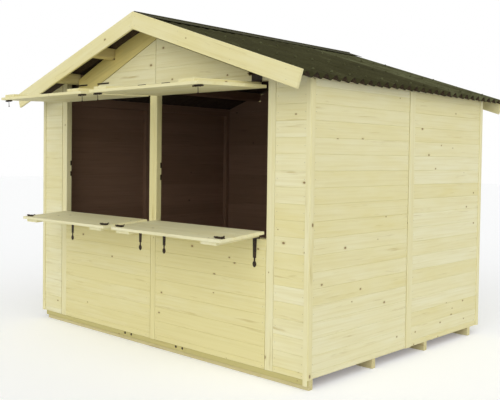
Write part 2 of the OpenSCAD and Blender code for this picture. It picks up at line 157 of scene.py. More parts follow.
def sawn_wood(name, pale, warm, streak, stain, knot, roughness, knots):
    """Softwood seen along its grain: tone from board to board, streaks of growth rings, sap stains, knots."""
    mat, tree, shader = finish(name, roughness, 1.5)
    grain = add(tree, "ShaderNodeAttribute", {"attribute_name": "grain"})
    tone = add(tree, "ShaderNodeAttribute", {"attribute_name": "tone"})
    # Rings are 2 to 6 mm apart, too fine to show, so the streaks are drawn 16 mm wide and 700 mm long.
    rings_at = add(tree, "ShaderNodeVectorMath",
                   {"operation": "MULTIPLY", 1: (1 / 0.7, 1 / 0.016, 1 / 0.016)},
                   {0: grain.outputs["Vector"]})
    rings = add(tree, "ShaderNodeTexNoise", {"Scale": 1, "Detail": 3, "Roughness": 0.55, "Distortion": 0.5},
                {"Vector": rings_at.outputs[0]})
    ring_mask = add(tree, "ShaderNodeMapRange", {"From Min": 0.45, "From Max": 0.75},
                    {"Value": rings.outputs["Fac"]})
    # Patches of heart and sap wood, 300 mm long and 60 mm wide.
    patch_at = add(tree, "ShaderNodeVectorMath",
                   {"operation": "MULTIPLY", 1: (1 / 0.3, 1 / 0.06, 1 / 0.06)}, {0: grain.outputs["Vector"]})
    patch = add(tree, "ShaderNodeTexNoise", {"Scale": 1, "Detail": 2}, {"Vector": patch_at.outputs[0]})
    board_tone = add(tree, "ShaderNodeMath", {"operation": "MULTIPLY_ADD", 1: 0.9},
                     {0: tone.outputs["Fac"], 2: patch.outputs["Fac"]})
    tone_mask = add(tree, "ShaderNodeMapRange", {"From Min": 0.4, "From Max": 1.45},
                    {"Value": board_tone.outputs[0]})
    wood = add(tree, "ShaderNodeMix", {"data_type": "RGBA", 6: linear(pale), 7: linear(warm)},
               {0: tone_mask.outputs[0]})
    ring_part = add(tree, "ShaderNodeMath", {"operation": "MULTIPLY", 1: 0.42}, {0: ring_mask.outputs[0]})
    ringed = add(tree, "ShaderNodeMix", {"data_type": "RGBA", 7: linear(streak)},
                 {0: ring_part.outputs[0], 6: wood.outputs[2]})
    # Sap stains, long thin flames of 450 by 35 mm in a few boards.
    flame_at = add(tree, "ShaderNodeVectorMath",
                   {"operation": "MULTIPLY", 1: (1 / 0.45, 1 / 0.035, 1 / 0.035)},
                   {0: grain.outputs["Vector"]})
    flame = add(tree, "ShaderNodeTexNoise", {"Scale": 1, "Detail": 3, "Roughness": 0.6, "Distortion": 0.3},
                {"Vector": flame_at.outputs[0]})
    flame_part = add(tree, "ShaderNodeMapRange", {"From Min": 0.63, "From Max": 0.78, "To Max": 0.75},
                     {"Value": flame.outputs["Fac"]})
    streaked = add(tree, "ShaderNodeMix", {"data_type": "RGBA", 7: linear(stain)},
                   {0: flame_part.outputs[0], 6: ringed.outputs[2]})
    # Knots 5 to 18 mm across, in some of the cells of 120 mm.
    knot_at = add(tree, "ShaderNodeVectorMath",
                  {"operation": "MULTIPLY", 1: (0.65 / 0.12, 1 / 0.12, 0)}, {0: grain.outputs["Vector"]})
    cells = add(tree, "ShaderNodeTexVoronoi", {"voronoi_dimensions": "2D", "Scale": 1},
                {"Vector": knot_at.outputs[0]})
    lot = add(tree, "ShaderNodeSeparateColor", {}, {0: cells.outputs["Color"]})
    chosen = add(tree, "ShaderNodeMath", {"operation": "GREATER_THAN", 1: 1 - knots}, {0: lot.outputs[0]})
    size = add(tree, "ShaderNodeMapRange", {"To Min": 0.020, "To Max": 0.075}, {"Value": lot.outputs[1]})
    reach = add(tree, "ShaderNodeMath", {"operation": "DIVIDE"},
                {0: cells.outputs["Distance"], 1: size.outputs[0]})
    heart = add(tree, "ShaderNodeMapRange", {"From Min": 0.75, "From Max": 1.0, "To Min": 1, "To Max": 0},
                {"Value": reach.outputs[0]})
    halo = add(tree, "ShaderNodeMapRange", {"From Min": 0.9, "From Max": 2.2, "To Min": 0.4, "To Max": 0},
               {"Value": reach.outputs[0]})
    halo_here = add(tree, "ShaderNodeMath", {"operation": "MULTIPLY"},
                    {0: halo.outputs[0], 1: chosen.outputs[0]})
    heart_here = add(tree, "ShaderNodeMath", {"operation": "MULTIPLY"},
                     {0: heart.outputs[0], 1: chosen.outputs[0]})
    haloed = add(tree, "ShaderNodeMix", {"data_type": "RGBA", 7: linear(stain)},
                 {0: halo_here.outputs[0], 6: streaked.outputs[2]})
    knotted = add(tree, "ShaderNodeMix", {"data_type": "RGBA", 7: linear(knot)},
                  {0: heart_here.outputs[0], 6: haloed.outputs[2]})
    tree.links.new(knotted.outputs[2], shader.inputs["Base Color"])
    # Planer marks and fibres, 3 mm across and 120 mm along.
    fibre_at = add(tree, "ShaderNodeVectorMath",
                   {"operation": "MULTIPLY", 1: (1 / 0.12, 1 / 0.003, 1 / 0.003)},
                   {0: grain.outputs["Vector"]})
    fibre = add(tree, "ShaderNodeTexNoise", {"Scale": 1, "Detail": 2}, {"Vector": fibre_at.outputs[0]})
    bump = add(tree, "ShaderNodeBump", {"Strength": 0.25, "Distance": 0.0006},
               {"Height": fibre.outputs["Fac"]})
    tree.links.new(bump.outputs[0], shader.inputs["Normal"])
    return mat


# Planed spruce, untreated: pale cream, faint warm streaks along each board, small brown knots, a dull sheen.
spruce = sawn_wood("planed_spruce", "#e2deba", "#dad199", "#cdc184", "#b8a86c", "#857049", 0.62, 0.16)
# Spruce in the rake boards and the base rail: the same timber darkened to a golden brown. On the rakes this
# is painted shade for the shade under the overhang; on the rail it is partly its own darker colour and partly
# painted shade for the shadow below the boards.
shaded_spruce = sawn_wood("spruce_painted_shade", "#ddcd84", "#b9b074", "#b9ab66", "#ab945a", "#80633c", 0.65, 0.08)
# Sawn spruce, untreated: the same timber off the saw, greyer and rougher.
sawn = sawn_wood("sawn_spruce", "#d3cb9c", "#c7ba86", "#b3a26b", "#a48d58", "#7a5c3a", 0.8, 0.12)
# Spruce stained dark brown inside the stall: the streaks hardly show through.
stained = sawn_wood("stained_spruce", "#987861", "#886a52", "#785a44", "#6c5038", "#56402e", 0.7, 0.1)


def bitumen_sheet():
    """Corrugated sheet of pressed fibre in bitumen, coloured dark green: matt, mottled, some paler from
    fading and, on the back sheets, from a painted sheen.
    """
    mat, tree, shader = finish("bitumen_fibre_sheet", 0.85, 1.5)
    shader.inputs["Specular IOR Level"].default_value = 0.1
    at = add(tree, "ShaderNodeTexCoord")
    tone = add(tree, "ShaderNodeAttribute", {"attribute_name": "tone"})
    # Cloudy patches about 250 mm across from uneven pigment.
    cloud = add(tree, "ShaderNodeTexNoise", {"Scale": 1 / 0.25, "Detail": 4, "Roughness": 0.6},
                {"Vector": at.outputs["Object"]})
    # Fibre mottle of 2 mm, drawn at 9 mm so that it shows.
    mottle = add(tree, "ShaderNodeTexNoise", {"Scale": 1 / 0.009, "Detail": 2},
                 {"Vector": at.outputs["Object"]})
    both = add(tree, "ShaderNodeMix", {"data_type": "FLOAT", 0: 0.35},
               {2: cloud.outputs["Fac"], 3: mottle.outputs["Fac"]})
    # The tone pales the sheet: fading, and on the back sheets a painted sheen.
    fade_and_sheen = add(tree, "ShaderNodeMath", {"operation": "MULTIPLY_ADD", 1: 0.5},
                {0: tone.outputs["Fac"], 2: both.outputs[0]})
    colour = add(tree, "ShaderNodeValToRGB",
                 {"stops": [(0.35, "#292712"), (1.0, "#696c4d"), (0.65, "#3c3b22")]}, {0: fade_and_sheen.outputs[0]})
    tree.links.new(colour.outputs[0], shader.inputs["Base Color"])
    bump = add(tree, "ShaderNodeBump", {"Strength": 0.4, "Distance": 0.001},
               {"Height": mottle.outputs["Fac"]})
    tree.links.new(bump.outputs[0], shader.inputs["Normal"])
    return mat


def raw_bitumen(name, dark, fibre):
    """Bare fibre in bitumen where the sheets have no colour coat: matt and dark, with paler fibre specks."""
    mat, tree, shader = finish(name, 0.9, 1.5)
    shader.inputs["Specular IOR Level"].default_value = 0.1
    at = add(tree, "ShaderNodeTexCoord")
    # Fibre specks of 2 mm, drawn at 8 mm so that they show.
    speck = add(tree, "ShaderNodeTexNoise", {"Scale": 1 / 0.008, "Detail": 2},
                {"Vector": at.outputs["Object"]})
    colour = add(tree, "ShaderNodeValToRGB", {"stops": [(0.4, dark), (0.75, fibre)]},
                 {0: speck.outputs["Fac"]})
    tree.links.new(colour.outputs[0], shader.inputs["Base Color"])
    return mat


def coated_steel():
    """Steel ironmongery with a baked black coat: dark, a low sheen, browner where it is rubbed."""
    mat, tree, shader = finish("black_coated_steel", 0.55, 1.5)
    shader.inputs["Specular IOR Level"].default_value = 0.25
    at = add(tree, "ShaderNodeTexCoord")
    # Rubbed patches about 12 mm across.
    rub = add(tree, "ShaderNodeTexNoise", {"Scale": 1 / 0.012, "Detail": 3}, {"Vector": at.outputs["Object"]})
    colour = add(tree, "ShaderNodeValToRGB", {"stops": [(0.4, "#241a0f"), (0.75, "#42311f")]},
                 {0: rub.outputs["Fac"]})
    gloss = add(tree, "ShaderNodeMapRange", {"To Min": 0.48, "To Max": 0.66}, {"Value": rub.outputs["Fac"]})
    tree.links.new(colour.outputs[0], shader.inputs["Base Color"])
    tree.links.new(gloss.outputs[0], shader.inputs["Roughness"])
    return mat


def zinc_steel():
    """Zinc-coated nail heads: dull grey, cloudy, hardly darker than the wood."""
    mat, tree, shader = finish("zinc_coated_steel", 0.5, 1.5)
    shader.inputs["Metallic"].default_value = 0.4
    at = add(tree, "ShaderNodeTexCoord")
    # Zinc flowers of 1 mm.
    flower = add(tree, "ShaderNodeTexVoronoi", {"Scale": 1 / 0.001}, {"Vector": at.outputs["Object"]})
    colour = add(tree, "ShaderNodeValToRGB", {"stops": [(0.2, "#8d8973"), (0.8, "#aaa58c")]},
                 {0: flower.outputs["Distance"]})
    tree.links.new(colour.outputs[0], shader.inputs["Base Color"])
    return mat


# Sheets: coated face, almost black cut ends and brown underside.
SHEETING = [bitumen_sheet(), raw_bitumen("cut_bitumen_sheet", "#14120d", "#2b281e"),
            raw_bitumen("bare_bitumen_sheet", "#3b3129", "#574a3d")]
COAT, CUT_END, UNDERSIDE = 0, 1, 2
# Timber: outer faces as planed or sawn, inner faces stained.
WOOD, ROUGH = [spruce, stained], [sawn, stained]
OUTER, INNER = 0, 1
zinc = zinc_steel()
iron = coated_steel()


# Joinery

def place(origin, along, across, through):
    """The frame of a board: its grain, its width and its thickness."""
    m = Matrix.Identity(4)
    for i, column in enumerate((along, across, through, origin)):
        m.col[i][:3] = column
    return m


def new_piece(tones=(0.0, 1.0)):
    """An empty piece, with the tones that its boards are picked from."""
    return {"verts": [], "faces": [], "finishes": [], "grain": [], "tone": [], "smooth": [], "tones": tones}


def timber(piece, at, near_end, far_end, finishes):
    """One closed timber between two ends of the same outline, with its own tone and place in the grain."""
    n, first = len(near_end), len(piece["verts"])
    shift = Vector([chance.uniform(0, GRAIN_SPREAD) for _ in range(3)])
    tone = chance.uniform(*piece["tones"])
    for local in near_end + far_end:
        piece["verts"].append(at @ local)
        piece["grain"].append(local + shift)
        piece["tone"].append(tone)
    piece["faces"] += [[first + i for i in range(n)], [first + n + i for i in range(n)]]
    for i in range(n):
        j = (i + 1) % n
        piece["faces"].append([first + i, first + j, first + n + j, first + n + i])
    piece["finishes"] += finishes
    piece["smooth"] += [False] * (n + 2)


def board(piece, at, profile, start, end, inside=False, finish_no=OUTER):
    """One board: a profile of (across, through) run along the grain from one end cut to the other.
    An end cut is a length, or a function of the place across the board. The inner face can be stained."""
    ends = [[Vector((cut(a) if callable(cut) else cut, a, t)) for a, t in profile] for cut in (start, end)]
    finishes = [finish_no, finish_no]
    for (_, t), (_, t_next) in zip(profile, profile[1:] + profile[:1]):
        finishes.append(INNER if inside and max(t, t_next) < STAIN_DEPTH else finish_no)
    timber(piece, at, *ends, finishes)


def shaped(piece, at, outline, thick):
    """One board sawn to an outline of (along, across)."""
    faces = [[Vector((a, w, t)) for a, w in outline] for t in (0.0, thick)]
    timber(piece, at, *faces, [OUTER] * (len(outline) + 2))


def plank(low, high, thick, edge, back_edge=0.0, breaks=()):
    """Profile of a board between two heights, its outer edges eased, with points where its end cut turns."""
    turns = [b for b in sorted(breaks) if low + edge < b < high - edge]
    face = [(low + edge, thick)] + [(b, thick) for b in turns] + [(high - edge, thick)]
    back = [(low + back_edge, 0.0)] + [(b, 0.0) for b in turns] + [(high - back_edge, 0.0)]
    sides = [(high, thick - edge)] + ([(high, back_edge)] if back_edge else [])
    other = ([(low, back_edge)] if back_edge else []) + [(low, thick - edge)]
    return back + sides[::-1] + face[::-1] + other[::-1]


def courses(low, high):
    """Heights of the boards between two heights, set out from the foot of the walls."""
    joints = [FOOT + FIRST + i * COVER for i in range(COURSES)]
    marks = [low] + [z for z in joints if low + THINNEST < z < high - THINNEST] + [high]
    return list(zip(marks, marks[1:]))


def boarding(piece, at, low, high, start, end, breaks=()):
    """Level tongued boards with a V joint between them, stained inside."""
    for a, b in courses(low, high):
        board(piece, at, plank(a, b, BOARD, V_FACE, V_BACK, breaks), start, end, True)


def bar(piece, a, b, width_way, width, thick, ease=EASE, start=0.0, end=None, finish_no=OUTER):
    """A timber from a to b, all four edges eased."""
    a, b = Vector(a), Vector(b)
    along = (b - a).normalized()
    across = Vector(width_way).normalized()
    at = place(a, along, across, along.cross(across))
    w, t = width / 2, thick / 2
    profile = [(-w + ease, -t), (w - ease, -t), (w, -t + ease), (w, t - ease),
               (w - ease, t), (-w + ease, t), (-w, t - ease), (-w, -t + ease)]
    board(piece, at, profile, start, (b - a).length if end is None else end, False, finish_no)


def block(piece, lo, hi, grain_way, ease=EASE, finish_no=OUTER):
    """A timber or plate that fills a box, with its grain along X, Y or Z."""
    lo, hi = Vector(lo), Vector(hi)
    mid, size = (lo + hi) / 2, hi - lo
    i = "XYZ".index(grain_way)
    w, t = (i + 1) % 3, (i + 2) % 3
    a, b = mid.copy(), mid.copy()
    a[i], b[i] = lo[i], hi[i]
    bar(piece, a, b, (X, Y, Z)[w], size[w], size[t], ease, finish_no=finish_no)


def turned(piece, at, rings, sides=16):
    """A round fitting: rings of (height, radius) about the local Z, closed at both ends."""
    first = len(piece["verts"])
    for h, r in rings:
        for k in range(sides):
            spin = 2 * math.pi * k / sides
            local = Vector((r * math.cos(spin), r * math.sin(spin), h))
            piece["verts"].append(at @ local)
            piece["grain"].append(local)
            piece["tone"].append(FADE_AND_SHEEN["fitting"])
    for i in range(len(rings) - 1):
        for k in range(sides):
            a, b = first + i * sides + k, first + i * sides + (k + 1) % sides
            piece["faces"].append([a, b, b + sides, a + sides])
    last = first + (len(rings) - 1) * sides
    piece["faces"].append([first + k for k in range(sides)])
    piece["faces"].append([last + k for k in range(sides)])
    made = (len(rings) - 1) * sides + 2
    piece["finishes"] += [0] * made
    piece["smooth"] += [True] * made


def sheet_faces(piece, rows, columns, underside, edge):
    """Faces of a sheet from its grid of points, an under and an upper one each: skins, then cut edges."""
    step = 2 * (columns + 1)
    for i in range(rows):
        for k in range(columns):
            v = i * step + 2 * k
            for d, finish_no in ((0, underside), (1, COAT)):
                piece["faces"].append([v + d, v + 2 + d, v + step + 2 + d, v + step + d])
                piece["finishes"].append(finish_no)
    for i in range(rows):
        for v in (i * step, i * step + 2 * columns):
            piece["faces"].append([v, v + 1, v + step + 1, v + step])
    for k in range(columns):
        for v in (2 * k, rows * step + 2 * k):
            piece["faces"].append([v, v + 1, v + 3, v + 2])
    piece["finishes"] += [edge] * (len(piece["faces"]) - len(piece["finishes"]))
    piece["smooth"] = [True] * len(piece["faces"])


def face_out(work):
    """Turns the faces of each closed timber, sheet or fitting outwards, judged by its volume."""
    bmesh.ops.recalc_face_normals(work, faces=work.faces)
    left = set(work.faces)
    while left:
        found = [left.pop()]
        for face in found:
            near = {f for edge in face.edges for f in edge.link_faces} & left
            left -= near
            found += near
        base, volume = found[0].verts[0].co, 0.0
        for face in found:
            corners = [v.co - base for v in face.verts]
            volume += sum(corners[0].dot(b.cross(c)) for b, c in zip(corners[1:], corners[2:]))
        if volume < 0:
            bmesh.ops.reverse_faces(work, faces=found)


def make(piece, name, body, finishes, nodes=()):
    """Turns a piece into an object that rides on a body and stands for its nodes."""
    mesh = bpy.data.meshes.new(name)
    mesh.from_pydata(piece["verts"], [], piece["faces"])
    mesh.attributes.new("grain", "FLOAT_VECTOR", "POINT").data.foreach_set(
        "vector", [c for v in piece["grain"] for c in v])
    mesh.attributes.new("tone", "FLOAT", "POINT").data.foreach_set("value", piece["tone"])
    for mat in finishes:
        mesh.materials.append(mat)
    mesh.polygons.foreach_set("material_index", piece["finishes"])
    mesh.polygons.foreach_set("use_smooth", piece["smooth"])
    work = bmesh.new()
    work.from_mesh(mesh)
    face_out(work)
    work.to_mesh(mesh)
    work.free()
    mesh.set_sharp_from_angle(angle=SHARP)
    obj = bpy.data.objects.new(name, mesh)
    bpy.context.scene.collection.objects.link(obj)
    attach(obj, body)
    if nodes:
        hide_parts(*nodes)


# Base: bearers, deck boards and the rail along the front.
bearer_lo, bearer_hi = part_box("floor_bearers")
# The front bearer stops short of the left corner.
BEARERS, BEARER_T, FRONT_BEARER_SHORT = 4, 0.040, 0.060
bearer_pitch = (bearer_hi.y - bearer_lo.y - BEARER_T) / (BEARERS - 1)
bearers = new_piece()
for i in range(BEARERS):
    y = bearer_lo.y + i * bearer_pitch
    start = -HALF + FRONT_BEARER_SHORT if i == 0 else -HALF
    block(bearers, (start, y, 0), (HALF, y + BEARER_T, FOOT), "X")
make(bearers, "bearer_timbers", "stall", ROUGH, ["floor_bearers"])

deck_lo, deck_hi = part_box("floor_deck")
DECK_BOARDS, DECK_GAP = 24, 0.0005
deck_w, deck_t = (deck_hi.x - deck_lo.x) / DECK_BOARDS, deck_hi.z - deck_lo.z
deck = new_piece()
at = place(Vector((0, 0, deck_lo.z)), Y, X, Z)
for i in range(DECK_BOARDS):
    x = deck_lo.x + i * deck_w
    board(deck, at, plank(x + DECK_GAP, x + deck_w - DECK_GAP, deck_t, EASE), deck_lo.y, deck_hi.y,
          finish_no=INNER)
make(deck, "deck_boards", "stall", ROUGH, ["floor_deck"])

# The base rail is in three lengths, butted.
RAIL_ENDS, RAIL_BUTT = (-HALF + 0.050, -0.340, 0.376, HALF), 0.0015
base = new_piece(TONES["base_rail"])
at = place(Vector((0, rail_hi.y, 0)), X, Z, -Y)
for a, b in zip(RAIL_ENDS, RAIL_ENDS[1:]):
    profile = plank(rail_lo.z, rail_hi.z, rail_hi.y - rail_lo.y, STOUT_EASE)
    board(base, at, profile, a + RAIL_BUTT, b - RAIL_BUTT)
# The rail takes the spruce darkened as painted shade.
make(base, "front_base_rail", "stall", [shaded_spruce], ["base_rail"])

# Side walls: two boarded panels a side on stained batten frames, with a seam between the panels.
SEAM = 0.004
for side, sign in SIDES:
    at = place(Vector((sign * (HALF - BOARD), 0, 0)), Y, Z, sign * X)
    inner, outer = sorted((sign * FRAME_IN, sign * (HALF - BOARD)))
    for part in ("front", "back"):
        node = f"{side}_wall_{part}"
        lo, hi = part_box(node)
        panel = new_piece(TONES["side_wall"])
        boarding(panel, at, lo.z, hi.z, lo.y, hi.y - (SEAM if part == "front" else 0))
        for z in (lo.z, hi.z - BATTEN):
            block(panel, (inner, lo.y + BATTEN, z), (outer, hi.y - BATTEN, z + BATTEN), "Y", finish_no=INNER)
        for y in (lo.y, hi.y - BATTEN):
            block(panel, (inner, y, lo.z), (outer, y + BATTEN, hi.z), "Z", finish_no=INNER)
        make(panel, f"{node}_boards", "stall", WOOD, [node])

# Cover strips: at the panel seam and round the four corners, on the side walls and on the front and back.
STRIP_W, STRIP_T, CORNER_W = 0.070, 0.006, 0.040
CORNER_FACE_W, CORNER_FACE_IN = 0.034, 0.014
cover_strips = new_piece()
for sign in (1, -1):
    x = sign * (HALF + STRIP_T / 2)
    for y, w in ((MID + STRIP_W / 2, STRIP_W), (FRONT + CORNER_W / 2, CORNER_W),
                 (BACK - CORNER_W / 2, CORNER_W)):
        bar(cover_strips, (x, y, FOOT), (x, y, WALL_TOP), Y, w, STRIP_T, STRIP_EASE)
    x = sign * (HALF - CORNER_FACE_IN)
    for y in (FRONT - STRIP_T / 2, BACK + STRIP_T / 2):
        # The right corner strip runs down over the end of the base rail.
        foot = rail_lo.z if y < 0 < sign else FOOT
        bar(cover_strips, (x, y, foot), (x, y, WALL_TOP), X, CORNER_FACE_W, STRIP_T, STRIP_EASE)
make(cover_strips, "cover_strips", "stall", WOOD)

# Front: boards beside the hatches, and jamb posts cut to the roof's slope.
GROOVE = 0.004
jamb_y = (jamb_lo.y + jamb_hi.y) / 2
for side, sign in SIDES:
    at = place(Vector((0, FRONT + BOARD, 0)), sign * X, Z, -Y)
    lo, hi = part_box(f"{side}_front_panel")
    near, far = sorted((abs(lo.x), abs(hi.x)))
    panel = new_piece()
    boarding(panel, at, lo.z, hi.z, near + GROOVE, lambda z: min(far, roof_x(z)), [under(far)])
    make(panel, f"{side}_front_boards", "stall", WOOD, [f"{side}_front_panel"])
    jamb = new_piece()
    x = sign * (jamb_lo.x + jamb_hi.x) / 2
    bar(jamb, (x, jamb_y, jamb_lo.z), (x, jamb_y, jamb_hi.z), X, jamb_hi.x - jamb_lo.x, jamb_hi.y - jamb_lo.y,
        STOUT_EASE, 0.0, lambda w: under(x + w) - jamb_lo.z)
    make(jamb, f"{side}_jamb_timber", "stall", WOOD, [f"{side}_jamb_post"])

# Below the sill the middle strip is narrower than the mullion above it.
LOW_L, LOW_R, COUNTER_GAP = -0.017, 0.036, 0.001
sill_z = counter_hi.z
# The mullion's boards are picked warm, as painted golden shade.
mullion = new_piece(TONES["mullion"])
block(mullion, (mullion_lo.x, mullion_lo.y, sill_z), mullion_hi, "Z", STOUT_EASE)
block(mullion, (LOW_L, mullion_lo.y, mullion_lo.z), (LOW_R, mullion_hi.y, sill_z), "Z")
make(mullion, "mullion_timber", "stall", WOOD, ["mullion_post"])
for side, sign, near in (("right", 1, LOW_R + GROOVE), ("left", -1, -LOW_L + GROOVE / 2)):
    at = place(Vector((0, FRONT + BOARD, 0)), sign * X, Z, -Y)
    # The panels below the counters are picked warm, as painted shade under the counters.
    panel = new_piece(TONES["counter_panel"])
    boarding(panel, at, counter_lo.z, counter_hi.z, near, counter_hi.x - COUNTER_GAP)
    make(panel, f"{side}_counter_boards", "stall", WOOD, [f"{side}_counter_panel"])

sill_lo, sill_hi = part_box("sill_rails")
sills = new_piece()
for sign in (1, -1):
    a, b = sorted((sign * mullion_hi.x, sign * sill_hi.x))
    block(sills, (a, sill_lo.y, sill_lo.z), (b, sill_hi.y, sill_hi.z), "X")
make(sills, "sill_timbers", "stall", WOOD, ["sill_rails"])
lintel = new_piece()
block(lintel, lintel_lo, lintel_hi, "X", STOUT_EASE)
make(lintel, "lintel_timber", "stall", WOOD, ["lintel"])


# Gable boards: the least length of one, the steps it is narrowed by to a point, and heights taken as one.
SHORTEST, POINT_STEP, SAME_HEIGHT = 0.010, 0.0005, 1e-6


def gable(node, at, start, foot, top, limit, turn, notches):
    """Boards from the middle out to a limit, split where a purlin passes through."""
    # Gable boards are picked from the palest tones, as painted light under the overhang.
    piece = new_piece(TONES["gable"])
    half = PURLIN_W / 2 + PURLIN_GAP
    feet = {x: under(x + PURLIN_W / 2) - PURLIN_H - PURLIN_GAP for x in notches}
    joints = [high for low, high in courses(foot, top)]
    heights = sorted({foot, top} | set(joints) | set(feet.values()))
    for a, b in zip(heights, heights[1:]):
        at_joint = any(abs(z - joint) < SAME_HEIGHT for z in (a, b) for joint in joints[:-1])
        ends = [start]
        for x, low in sorted(feet.items()):
            if low < (a + b) / 2:
                ends += [x - half, x + half]
        # The ridge's notch takes the inner end of its boards.
        if len(ends) > 1 and ends[1] < start:
            ends = ends[2:]
        ends.append(HALF)
        for first, last in zip(ends[::2], ends[1::2]):
            if limit(a) < first + SHORTEST:
                continue
            # The board narrows to a point where the limit meets its inner end.
            high = b
            while limit(high) < first:
                high -= POINT_STEP
            edge = V_FACE if at_joint and high == b else SAWN_EASE
            board(piece, at, plank(a, high, BOARD, edge, 0.0, [turn]), first,
                  lambda z: min(last, limit(z)), True)
    make(piece, f"{node}_boards", "stall", WOOD, [node])


# Gables: level boards. The back ones run up to the sheets and are notched round the purlins. The front ones
# end at a rake board that closes the gap up to the sheets, with an open joint between, and meet off centre.
SPLIT_X, JOINT, PAST_PEAK, GABLE_SHORT = 0.023, 0.005, 0.010, 0.024
BACK_SEAM, BACK_PEAK_X, NOTCH_GAP, RIGHT_RAKE_H = 0.0015, 0.001, 0.0006, 0.030
gable_stop = gable_reach - GABLE_SHORT
ridge_foot = ridge_lo.z - NOTCH_GAP
# Height of each rake board's lower edge at the middle, and its slope. The right one is narrow.
RAKE_LOW = {"right": (ridge_foot - RIGHT_RAKE_H, RISE), "left": (2.301, 0.42)}
for side, sign in SIDES:
    at = place(Vector((0, FRONT + BOARD, 0)), sign * X, Z, -Y)
    low_peak, fall = RAKE_LOW[side]
    lean = math.atan(fall)
    gable(f"{side}_front_gable", at, sign * SPLIT_X + JOINT / 2, lintel_hi.z, low_peak + PAST_PEAK,
          lambda z: min(gable_stop, (low_peak - z) / fall - JOINT / math.sin(lean)),
          low_peak - fall * gable_stop - JOINT / math.cos(lean), ())
    at = place(Vector((0, BACK - BOARD, 0)), sign * X, Z, Y)
    gable(f"{side}_back_gable", at, BACK_SEAM, WALL_TOP, under(BACK_PEAK_X),
          lambda z: min(HALF, roof_x(z)), under(HALF), (0.0,) + PURLIN_XS)
    panel = new_piece()
    boarding(panel, at, back_lo.z, back_hi.z, BACK_SEAM, HALF)
    make(panel, f"{side}_back_boards", "stall", WOOD, [f"{side}_back_panel"])

# The rake boards are notched round the purlins and stand on the lintel. The left one is tapered.
RAKE_PEAK, RAKE_FALL, RAKE_GAP = 2.466, 0.408, 0.0015
RAKE_SEAT, RAKE_FOOT, RAKE_END_GAP = 0.001, 0.001, 0.0025
rake_heel = lintel_hi.z + RAKE_SEAT
rake_end = PURLIN_XS[1] - PURLIN_W / 2 - RAKE_END_GAP
rake_turn = (RAKE_PEAK - under(0) + RAKE_GAP) / (RAKE_FALL - RISE)
notch = PURLIN_W / 2 + NOTCH_GAP
notch_a, notch_b = PURLIN_XS[0] - notch, PURLIN_XS[0] + notch
notch_foot = under(notch_b) - PURLIN_H - NOTCH_GAP


def rake_top(x):
    """A rake board's upper edge, with its height: under the sheets, or along its own steeper line."""
    return x, min(under(x) - RAKE_GAP, RAKE_PEAK - RAKE_FALL * x)


rakes = new_piece(TONES["rake"])
for side, sign in SIDES:
    low_peak, fall = RAKE_LOW[side]
    inner, toe = sign * SPLIT_X + JOINT / 2, min(rake_end - RAKE_FOOT, (low_peak - rake_heel) / fall)
    if inner < notch:
        corners = [(inner, ridge_foot), (notch, ridge_foot), rake_top(notch)]
    else:
        corners = [rake_top(inner)]
    corners += [rake_top(rake_turn), rake_top(notch_a), (notch_a, notch_foot), (notch_b, notch_foot)]
    corners += [rake_top(notch_b), rake_top(rake_end)]
    corners += [(x, max(rake_heel, low_peak - x * fall)) for x in (rake_end, toe, inner)]
    outline = [(x * RUN - (z - ridge_foot) * FALL, x * FALL + (z - ridge_foot) * RUN) for x, z in corners]
    shaped(rakes, place(Vector((0, FRONT + BOARD, ridge_foot)), *slope_ways(sign), -Y), outline, BOARD)
# The rake boards take the spruce darkened as painted shade for the shade under the overhang.
make(rakes, "gable_rake_boards", "stall", [shaded_spruce])

back_post = new_piece()
block(back_post, *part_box("back_post"), "Z", finish_no=INNER)
make(back_post, "back_post_timber", "stall", WOOD, ["back_post"])

# Roof timbers, stained between the gables and bare outside them.
lengths = ((ridge_lo.y, FRONT + BOARD, OUTER), (FRONT + BOARD, BACK - BOARD, INNER),
           (BACK - BOARD, ridge_hi.y, OUTER))
along_roof = place(Vector((0, 0, 0)), Y, X, Z)
purlins = new_piece()
for x in [sign * x for sign in (1, -1) for x in PURLIN_XS]:
    a, b = x - PURLIN_W / 2, x + PURLIN_W / 2
    section = [(a, under(a) - PURLIN_H), (b, under(b) - PURLIN_H), (b, under(b)), (a, under(a))]
    for start, end, finish_no in lengths:
        board(purlins, along_roof, section, start, end, finish_no=finish_no)
make(purlins, "side_purlin_timbers", "stall", ROUGH, ["side_purlins"])
ridge = new_piece()
w = PURLIN_W / 2
section = [(-w, ridge_lo.z), (w, ridge_lo.z), (w, under(w)), (0, under(0)), (-w, under(w))]
for start, end, finish_no in lengths:
    board(ridge, along_roof, section, start, end, finish_no=finish_no)
make(ridge, "ridge_purlin_timber", "stall", ROUGH, ["ridge_purlin"])
fillet_lo, fillet_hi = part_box("eave_fillets")
fillets = new_piece()
a, b = FRAME_IN, HALF - BOARD
section = [(a, WALL_TOP), (b, WALL_TOP), (b, under(b)), (a, under(a))]
for sign in (1, -1):
    at = place(Vector((0, 0, 0)), Y, sign * X, Z)
    board(fillets, at, section, fillet_lo.y, fillet_hi.y, finish_no=INNER)
make(fillets, "eave_fillet_timbers", "stall", ROUGH, ["eave_fillets"])

# Bargeboards with a plumb joint at the ridge and a square end at the eave.
BARGE_W, PLUMB_GAP = 0.120, 0.0005
for side, sign in SIDES:
    down, across = slope_ways(sign)
    for part in ("front", "back"):
        node = f"{side}_{part}_barge"
        lo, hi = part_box(node)
        y, tip = (lo.y + hi.y) / 2, max(hi.x, -lo.x)
        peak = Vector((0, y, hi.z)) - across * BARGE_W / 2
        peak += down * (-peak.x / down.x)
        length = (Vector((sign * tip, y, hi.z - tip * RISE)) - across * BARGE_W / 2 - peak).length
        barge = new_piece()
        bar(barge, peak, peak + down, across, BARGE_W, hi.y - lo.y, STOUT_EASE,
            lambda w: PLUMB_GAP - w * RISE, length)
        make(barge, f"{node}_board", "stall", WOOD, [node])

